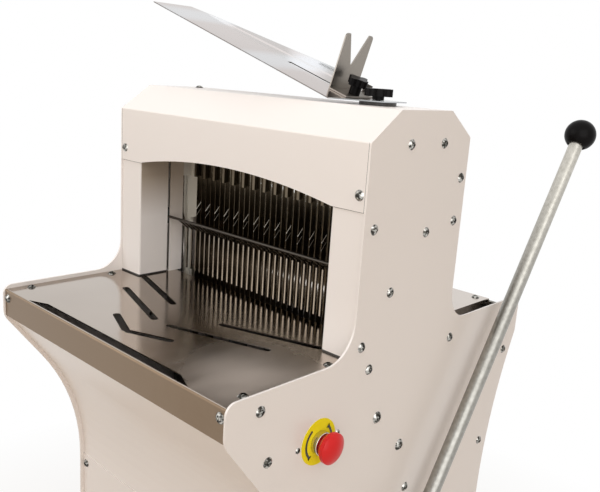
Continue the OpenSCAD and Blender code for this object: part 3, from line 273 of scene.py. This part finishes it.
nylon = plain("natural_nylon", (0.50, 0.46, 0.40, 1.0), (0.58, 0.54, 0.47, 1.0),
              rough=0.40, metal=0.0, scale=400.0, depth=0.00004)
coat(nylon, "front_frame_blocks", "rear_frame_blocks")
bronze = plain("sintered_bronze", (0.42, 0.27, 0.11, 1.0), (0.52, 0.36, 0.17, 1.0),
               rough=0.3, metal=1.0, scale=600.0, depth=0.00005)
coat(bronze, "shaft_bushes")


# Blade set: thin scalloped saw blades in two flat steel rings that slide on ground columns.
# The steel is brown-black. Each front blade has a bright slanted painted glint and a fainter one
# below it, and the rear ring is painted cream.
def brushed(name, low, high, rough, stretch, metal=1.0):
    made = finish(name)
    stroke = noise(made, 900.0, 3.0, stretch)
    smear = noise(made, 7.0, 3.0)
    return surface(made, {
        "Base Color": blend(made, smear, low, high),
        "Metallic": metal,
        "Roughness": rough + 0.10 * stroke + 0.08 * smear,
        "Normal": relief(made, stroke, 0.00002),
    })


dull_steel = brushed("dull_frame_steel", (0.16, 0.145, 0.125, 1.0), (0.25, 0.23, 0.20, 1.0),
                     rough=0.30, stretch=(1.0, 1.0, 0.02))
coat(dull_steel, "front_blade_frame", "front_connecting_rods", "rear_connecting_rods",
     "slotted_arms", "crank_discs", "tie_bars", "rear_cross_bar")
ring_paint = brushed("cream_ring_paint", (0.84, 0.78, 0.67, 1.0), (0.90, 0.84, 0.73, 1.0),
                     rough=0.35, stretch=(1.0, 1.0, 0.02), metal=0.0)
coat(ring_paint, "rear_blade_frame")


def saw_steel(name, painted_glints):
    ground_from = -0.0468
    edge_steel = (0.32, 0.285, 0.235, 1.0)
    glint_steel = (0.86, 0.80, 0.70, 1.0)
    glint_y = -0.0563
    glint_z = 0.943
    glint_rise = 1.16
    glint_half = 0.001
    second_glint = 0.0115
    second_share = 0.45
    blade = finish(name)
    mottle = noise(blade, 60.0, 4.0, (1.0, 1.0, 0.25))
    depth = blade.node("ShaderNodeSeparateXYZ", None, {"Vector": blade.place}, output="Y")
    level = Socket(blade, depth.output.node.outputs["Z"])
    on_ground_edge = depth > ground_from
    brown_black_tone = blend(blade, mottle, (0.05, 0.036, 0.022, 1.0), (0.14, 0.108, 0.070, 1.0))
    colour = blend(blade, on_ground_edge, brown_black_tone, edge_steel)
    metal = 1.0
    rough = 0.16 + 0.18 * mottle
    # The slanted bright lines on the front blades are painted glints.
    if painted_glints:
        off_glint = level - glint_z - glint_rise * (depth - glint_y)
        upper = (off_glint > -glint_half) * (off_glint < glint_half)
        lower = (off_glint > -glint_half - second_glint) * (off_glint < glint_half - second_glint)
        on_glint = (1.0 - on_ground_edge) * (upper + second_share * lower)
        colour = blend(blade, on_glint, colour, glint_steel)
        metal = 1.0 - on_glint
        rough = rough + 0.2 * on_glint
    return surface(blade, {
        "Base Color": colour,
        "Metallic": metal,
        "Roughness": rough,
        "Normal": relief(blade, mottle, 0.00003),
    })


coat(saw_steel("brown_black_front_blade_steel", painted_glints=True), "front_blades")
coat(saw_steel("brown_black_rear_blade_steel", painted_glints=False), "rear_blades")
tab_steel = brushed("dark_tab_steel", (0.115, 0.090, 0.062, 1.0), (0.17, 0.138, 0.098, 1.0),
                    rough=0.26, stretch=(1.0, 1.0, 0.05))
coat(tab_steel, "front_blade_tabs", "rear_blade_tabs")
polished = brushed("polished_rod_steel", (0.56, 0.55, 0.53, 1.0), (0.66, 0.65, 0.63, 1.0),
                   rough=0.08, stretch=(1.0, 1.0, 0.05))
coat(polished, "guide_columns", "slide_rods", "lever_shaft", "crank_shaft")


# Pusher and holding comb: a tall toothed plate behind the blades and bent fingers ahead of them.
# The pusher is dark brown. The comb's fingers are bright bent steel, and the bar that carries them is blackened.
pusher_steel = brushed("dark_pusher_steel", (0.11, 0.085, 0.055, 1.0), (0.19, 0.15, 0.10, 1.0),
                       rough=0.38, stretch=(1.0, 1.0, 0.03))
coat(pusher_steel, "pusher_teeth", "pusher_frame")
bar_bottom = 0.9243
bar_black = (0.075, 0.065, 0.055, 1.0)
comb = finish("bright_finger_steel")
stroke = noise(comb, 900.0, 3.0, (1.0, 1.0, 0.03))
level = comb.node("ShaderNodeSeparateXYZ", None, {"Vector": comb.place}, output="Z")
on_bar = level > bar_bottom
finger = blend(comb, stroke, (0.29, 0.25, 0.205, 1.0), (0.38, 0.335, 0.28, 1.0))
finger_steel = surface(comb, {
    "Base Color": blend(comb, on_bar, finger, bar_black),
    "Metallic": 1.0,
    "Roughness": 0.20 + 0.10 * stroke + 0.15 * on_bar,
    "Normal": relief(comb, stroke, 0.00002),
})
coat(finger_steel, "holding_comb")


# Sheet casing: folded steel panels, screwed together, with a warm white powder coat baked on in one thin layer.
# It has a fine orange-peel surface and a satin shine. Thin dark joints show beside and below the hood's front, a
# black painted shadow runs along the guards' feet, and painted brown shade darkens the outlet's inner sides towards
# the top.
def baked_paint(name, shadow_line_top=0.0, painted_shade_behind=1.0, painted_shade_from=0.0, joint_above=2.0, joint_beyond=1.0):
    painted_shade_to = 1.0
    front_face = -0.147
    hood_fold = 1.1045
    painted_shade_brown = (0.40, 0.32, 0.245, 1.0)
    joint_and_shadow_black = (0.020, 0.016, 0.013, 1.0)
    paint = finish(name)
    cloud = noise(paint, 5.0)
    peel = noise(paint, 650.0, 1.0)
    height = paint.node("ShaderNodeSeparateXYZ", None, {"Vector": paint.place}, output="Z")
    depth = Socket(paint, height.output.node.outputs["Y"])
    sideways = Socket(paint, height.output.node.outputs["X"])
    off_middle = paint.node("ShaderNodeMath", {"operation": "ABSOLUTE"}, {0: sideways})
    at_side = (off_middle > joint_beyond) * (height < hood_fold)
    on_joint = (depth < front_face) * ((height > joint_above) + at_side)
    # The black band at the guards' feet is painted shadow; the lines beside and below the hood's front are dark
    # joints.
    joint_or_shadow_line = (height < shadow_line_top) + on_joint
    risen = paint.node("ShaderNodeMapRange", None, {
        "Value": height, "From Min": painted_shade_from, "From Max": painted_shade_to})
    # The brown that rises towards the top on faces behind the guards' fronts is painted shade.
    painted_shade_share = (depth > painted_shade_behind) * risen
    clean = blend(paint, cloud, (0.752, 0.692, 0.648, 1.0), (0.782, 0.722, 0.678, 1.0))
    paint_with_painted_shade = blend(paint, painted_shade_share, clean, painted_shade_brown)
    return surface(paint, {
        "Base Color": blend(paint, joint_or_shadow_line, paint_with_painted_shade, joint_and_shadow_black),
        "Roughness": 0.30 + 0.12 * cloud + 0.25 * joint_or_shadow_line,
        "Coat Weight": 0.2,
        "Coat Roughness": 0.18,
        "Normal": relief(paint, peel, 0.00006),
    })


behind_guard_front = -0.1455
powder_coat = baked_paint("white_powder_coat")
hood_coat = baked_paint("white_coat_with_side_joints", joint_beyond=0.2575)
guard_coat = baked_paint("white_coat_with_joint_and_painted_shade", shadow_line_top=0.8325, painted_shade_behind=behind_guard_front,
                         painted_shade_from=0.93, joint_above=1.0202)
painted_shade_coat = baked_paint("white_coat_with_painted_shade", painted_shade_behind=behind_guard_front, painted_shade_from=0.86)
coat(hood_coat, "hood_cover")
coat(guard_coat, "left_guard", "right_guard")
coat(painted_shade_coat, "left_inner_wall", "right_inner_wall")
coat(powder_coat, "apron", "front_cover", "rear_cover")
for panel in ("left_side_panel", "right_side_panel"):
    eased(panel, powder_coat, width=0.0006)


# Tables and drawer: stainless sheets, folded down at the ends and brushed along their width.
# The top mirrors the blades in soft streaks, and a pale painted highlight of glare, with rougher steel, lies near
# its right front corner. The front lip is rougher, and its brown colour is a painted reflection.
table_top = 0.830
lip_depth = 0.0003
lip_front = -0.345
glare_spot = (0.205, -0.268, table_top)
glare_reach = 0.235
glare_middle = 0.03
glare_edge = 0.09
glare_share = 0.8
painted_glare_steel = (0.88, 0.78, 0.70, 1.0)
# The lip's brown is a painted reflection.
lip_painted_reflection = (0.24, 0.172, 0.115, 1.0)
steel = finish("brushed_table_steel")
stroke = noise(steel, 900.0, 3.0, (0.015, 1.0, 1.0))
smear = noise(steel, 7.0, 3.0)
spot = steel.node("ShaderNodeSeparateXYZ", None, {"Vector": steel.place}, output="Y")
height = Socket(steel, spot.output.node.outputs["Z"])
on_lip = (height < table_top - lip_depth) * (spot < lip_front)
# The pale spot near the right front corner is a painted highlight of glare.
off_spot = steel.node("ShaderNodeVectorMath", {"operation": "DISTANCE"},
                      {0: steel.place, 1: glare_spot}, output="Value")
glare_edge_noise = noise(steel, 24.0, 4.0, (1.0, 0.3, 1.0))
painted_glare_spot = steel.node("ShaderNodeMapRange", {"interpolation_type": "SMOOTHERSTEP"}, {
    "Value": off_spot + glare_edge * glare_edge_noise, "From Min": glare_reach, "From Max": glare_middle})
bright = blend(steel, smear, (0.41, 0.354, 0.305, 1.0), (0.48, 0.42, 0.366, 1.0))
steel_with_painted_glare = blend(steel, glare_share * painted_glare_spot, bright, painted_glare_steel)
table_steel = surface(steel, {
    "Base Color": blend(steel, on_lip, steel_with_painted_glare, lip_painted_reflection),
    "Metallic": 1.0,
    "Roughness": 0.05 + 0.06 * stroke + 0.05 * smear + 0.26 * on_lip + 0.38 * painted_glare_spot,
    "Normal": relief(steel, stroke, 0.00005),
})
coat(table_steel, "front_table", "crumb_drawer")
clean_steel = brushed("clean_table_steel", (0.56, 0.50, 0.45, 1.0), (0.64, 0.58, 0.53, 1.0),
                      rough=0.10, stretch=(0.015, 1.0, 1.0))
coat(clean_steel, "rear_table")


# Fasteners: steel screws with domed heads and cross recesses, and two larger bolts on each panel.
# Each one holds the sheet that it stands on, and its zinc carries bright and dark patches of painted reflection.
reflection_patch_from = 0.43
reflection_patch_to = 0.62
painted_dark_reflection = (0.048, 0.045, 0.038, 1.0)
painted_bright_reflection = (0.50, 0.485, 0.45, 1.0)
screw_finish = finish("zinc_with_painted_reflections")
# The bright patches and the dark between them are painted reflections; the bright ones are a little rougher.
reflection_patch = screw_finish.node("ShaderNodeMapRange", None, {
    "Value": noise(screw_finish, 230.0, 1.0), "From Min": reflection_patch_from, "From Max": reflection_patch_to})
screw_metal = surface(screw_finish, {
    "Base Color": blend(screw_finish, reflection_patch, painted_dark_reflection, painted_bright_reflection),
    "Metallic": 1.0,
    "Roughness": 0.08 + 0.08 * reflection_patch,
    "Normal": relief(screw_finish, reflection_patch, 0.00002),
})
coat(screw_metal, "fasteners")


# Feed lever: a galvanised tube with a black ball pressed on its end.
# The zinc has soft spangles and a drawn grain, and it is painted brighter towards the ball as a painted highlight.
brightening_from = 0.82
brightening_to = 1.06
zinc_tube = finish("galvanised_tube")
spangle = zinc_tube.node("ShaderNodeTexVoronoi", None, {"Vector": zinc_tube.place, "Scale": 160.0})
grain = noise(zinc_tube, 60.0, 3.0)
tube_height = zinc_tube.node("ShaderNodeSeparateXYZ", None, {"Vector": zinc_tube.place}, output="Z")
# The tube's brightening towards the ball is painted light.
painted_brightening = zinc_tube.node("ShaderNodeMapRange", None, {
    "Value": tube_height, "From Min": brightening_from, "From Max": brightening_to})
lower_zinc = blend(zinc_tube, spangle, (0.27, 0.26, 0.235, 1.0), (0.37, 0.36, 0.33, 1.0))
painted_bright_zinc = blend(zinc_tube, spangle, (0.46, 0.44, 0.39, 1.0), (0.60, 0.575, 0.52, 1.0))
galvanised = surface(zinc_tube, {
    "Base Color": blend(zinc_tube, painted_brightening, lower_zinc, painted_bright_zinc),
    "Metallic": 0.9,
    "Roughness": 0.30 + 0.14 * grain,
    "Normal": relief(zinc_tube, grain, 0.00008),
})
coat(galvanised, "lever_tube")

ball_radius = 0.0245
ball_flat = 0.82 * ball_radius
socket_rim = 0.0006
socket_depth = 0.0015
lever_length = 0.662
lever_lean = math.radians(33.0)
lever_pivot = Vector((0.295, -0.007, 0.555))
lever_way = Vector((0.0, math.sin(lever_lean), math.cos(lever_lean)))
bpy.ops.object.select_all(action="DESELECT")
bpy.ops.mesh.primitive_uv_sphere_add(segments=64, ring_count=32, radius=ball_radius)
ball = bpy.context.object
ball.name = "lever_ball_moulding"
bpy.ops.object.mode_set(mode="EDIT")
bpy.ops.mesh.select_all(action="SELECT")
bpy.ops.mesh.bisect(plane_co=(0.0, 0.0, -ball_flat), plane_no=(0.0, 0.0, -1.0), clear_outer=True, use_fill=True)
bpy.ops.mesh.select_mode(type="FACE")
bpy.ops.mesh.inset(thickness=socket_rim)
bpy.ops.mesh.extrude_region_move(TRANSFORM_OT_translate={"value": (0.0, 0.0, socket_depth)})
bpy.ops.object.mode_set(mode="OBJECT")
bpy.ops.object.shade_smooth_by_angle(angle=math.radians(40.0))
ball.data.materials.append(black)
ball.rotation_euler = (-lever_lean, 0.0, 0.0)
ball.location = lever_pivot + lever_length * lever_way
bpy.ops.object.transform_apply(location=True, rotation=True, scale=True)
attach(ball, "lever")
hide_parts("lever_ball")


# Emergency stop: a red mushroom button in a bright zinc collar on a yellow disc.
# The disc is a printed sheet with two curved release arrows in black ink, and the button is a glossy moulding.
yellow = plain("yellow_disc_print", (0.80, 0.655, 0.006, 1.0), (0.86, 0.71, 0.010, 1.0),
               rough=0.42, metal=0.0, scale=90.0, depth=0.000004, shine=0.15)
coat(yellow, "stop_disc")
red = plain("red_button_moulding", (0.60, 0.016, 0.016, 1.0), (0.66, 0.020, 0.020, 1.0),
            rough=0.24, metal=0.0, scale=60.0, depth=0.000004, shine=0.22)
eased("stop_button", red, width=0.0012, segments=3)
collar_metal = brushed("bright_zinc", (0.56, 0.53, 0.49, 1.0), (0.68, 0.65, 0.61, 1.0),
                       rough=0.16, stretch=(1.0, 0.05, 1.0))
eased("stop_collar", collar_metal, width=0.001, segments=3)

stop_centre = Vector((0.262, -0.2034, 0.7425))
arrow_radius = 0.0226
arrow_width = 0.0032
arrow_thickness = 0.0002
arrow_merge = 0.00001
arrow_sweep = math.radians(96.0)
arrow_turn = math.radians(40.0)
head_width = 2.3
head_length = 2.2 * arrow_width
arrow_ink = plain("black_arrow_ink", (0.02, 0.02, 0.018, 1.0), (0.035, 0.034, 0.03, 1.0),
                  rough=0.45, metal=0.0, scale=600.0, depth=0.00001)
for side in range(2):
    bpy.ops.object.select_all(action="DESELECT")
    bpy.ops.mesh.primitive_plane_add(size=arrow_width, location=(arrow_radius, 0.0, 0.0))
    arrow = bpy.context.object
    arrow.name = f"release_arrow_{side + 1}"
    bpy.ops.object.transform_apply(location=True, rotation=True, scale=True)
    bpy.ops.object.mode_set(mode="EDIT")
    bpy.ops.mesh.select_mode(type="EDGE")
    bpy.ops.mesh.select_all(action="DESELECT")
    bpy.ops.object.mode_set(mode="OBJECT")
    for edge in arrow.data.edges:
        edge.select = all(arrow.data.vertices[v].co.y > 0.0 for v in edge.vertices)
    bpy.ops.object.mode_set(mode="EDIT")
    bpy.ops.mesh.spin(steps=22, angle=arrow_sweep, center=(0.0, 0.0, 0.0), axis=(0.0, 0.0, -1.0))
    bpy.ops.mesh.extrude_region_move(TRANSFORM_OT_translate={"value": (0.0, 0.0, 0.0)})
    bpy.ops.transform.resize(value=(head_width, head_width, head_width))
    bpy.ops.object.mode_set(mode="OBJECT")
    tip = [v.co.copy() for v in arrow.data.vertices if v.select]
    middle = sum(tip, Vector()) / len(tip)
    ahead = middle.cross(Vector((0.0, 0.0, 1.0))).normalized() * head_length
    bpy.ops.object.mode_set(mode="EDIT")
    bpy.ops.mesh.extrude_region_move(TRANSFORM_OT_translate={"value": ahead})
    bpy.ops.mesh.merge(type="CENTER")
    bpy.ops.mesh.select_all(action="SELECT")
    bpy.ops.mesh.remove_doubles(threshold=arrow_merge)
    bpy.ops.mesh.normals_make_consistent(inside=False)
    bpy.ops.object.mode_set(mode="OBJECT")
    layer = arrow.modifiers.new("layer", "SOLIDIFY")
    layer.thickness = arrow_thickness
    layer.offset = 1.0
    bpy.ops.object.modifier_apply(modifier=layer.name)
    arrow.data.materials.append(arrow_ink)
    arrow.rotation_euler = (0.0, math.radians(90.0), 0.0)
    bpy.ops.object.transform_apply(location=True, rotation=True, scale=True)
    arrow.rotation_euler = (math.pi * side + arrow_turn, 0.0, 0.0)
    arrow.location = stop_centre
    bpy.ops.object.transform_apply(location=True, rotation=True, scale=True)
    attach(arrow, "casing")


# Bag scoop: a bent stainless tray that swivels on the hood under a star knob, with a V-shaped fork for the bag.
# The sheet is softly brushed along its length, with faint painted highlight bands and a painted highlight along the
# fold below its rear wall. Painted shade makes the wall darker than the floor and darkens the slot, the spacer
# and the front edge. The fork is a darker blank with a knob of its own, and both knobs are black mouldings.
slope = math.radians(17.9)
bend = Vector((0.135, -0.149, 1.148))
slot_far = -0.1447
slot_near = -0.0053
slot_middle = -0.0270
slot_half = 0.0037
front_edge = -0.0888
fold_low = 0.0016
fold_high = 0.0028
edge_shade = 0.7
spacer_gap = 0.0002
highlight_band_scale = 1.5
highlight_band_from = 0.55
highlight_band_share = 0.85
wall_highlight_loss = 0.3
painted_highlight_steel = (0.60, 0.61, 0.63, 1.0)
fold_highlight_steel = (0.46, 0.46, 0.46, 1.0)
slot_painted_shade = (0.035, 0.03, 0.027, 1.0)
tray = finish("soft_scoop_steel")
across = tray.node("ShaderNodeSeparateXYZ", None, {"Vector": tray.place}, output="Y")
sideways = Socket(tray, across.output.node.outputs["X"])
upright = Socket(tray, across.output.node.outputs["Z"])
along = math.cos(slope) * (sideways - bend.x) - math.sin(slope) * (upright - bend.z)
above = math.sin(slope) * (sideways - bend.x) + math.cos(slope) * (upright - bend.z)
in_length = (along > slot_far) * (along < slot_near)
# The slot, the spacer below the foot and the front edge are painted dark as shade, with less metal and more
# roughness.
in_slot = in_length * (across > slot_middle - slot_half) * (across < slot_middle + slot_half)
on_spacer = upright < bend.z - spacer_gap
on_edge = across < front_edge
shaded = in_slot + on_spacer + edge_shade * on_edge
turned = tray.node("ShaderNodeMapping", None, {
    "Vector": tray.place, "Rotation": (0.0, -slope, 0.0), "Scale": (0.02, 1.0, 1.0)})
grain = tray.node("ShaderNodeTexNoise", None, {"Vector": turned, "Scale": 260.0, "Detail": 2.0})
haze = noise(tray, 6.0, 2.0)
on_wall = above > fold_low
# The thin band along the fold is a painted highlight.
on_fold_highlight = on_wall * (above < fold_high)
# The wave bands across the sheet are painted highlights, weaker on the wall.
highlight_wave = tray.node("ShaderNodeTexWave", {"wave_profile": "SIN"}, {
    "Vector": tray.place, "Scale": highlight_band_scale, "Phase Offset": math.pi,
    "Distortion": 2.0, "Detail": 1.0, "Detail Scale": 1.0}, output="Fac")
sheen = tray.node("ShaderNodeMapRange", {"interpolation_type": "SMOOTHSTEP"}, {
    "Value": highlight_wave, "From Min": highlight_band_from, "From Max": 1.0})
floor_steel = blend(tray, haze, (0.46, 0.405, 0.385, 1.0), (0.52, 0.46, 0.44, 1.0))
# The wall gets a darker copy of the floor's steel as painted shade.
wall_steel_painted_darker = blend(tray, haze, (0.34, 0.345, 0.345, 1.0), (0.39, 0.395, 0.395, 1.0))
floor_and_darker_wall = blend(tray, on_wall, floor_steel, wall_steel_painted_darker)
sheet = blend(tray, sheen * (highlight_band_share - wall_highlight_loss * on_wall), floor_and_darker_wall, painted_highlight_steel)
sheet_with_painted_fold = blend(tray, on_fold_highlight, sheet, fold_highlight_steel)
scoop_steel = surface(tray, {
    "Base Color": blend(tray, shaded, sheet_with_painted_fold, slot_painted_shade),
    "Metallic": 1.0 - shaded,
    "Roughness": 0.09 + 0.06 * grain + 0.04 * haze + 0.3 * shaded,
})
coat(scoop_steel, "bag_scoop")
fork_steel = brushed("brown_fork_steel", (0.28, 0.25, 0.22, 1.0), (0.36, 0.33, 0.295, 1.0),
                     rough=0.28, stretch=(1.0, 1.0, 0.02))
eased("fork_bracket", fork_steel, width=0.0004)
for moulding in ("scoop_knob", "fork_knob"):
    eased(moulding, black, width=0.0024, segments=4)
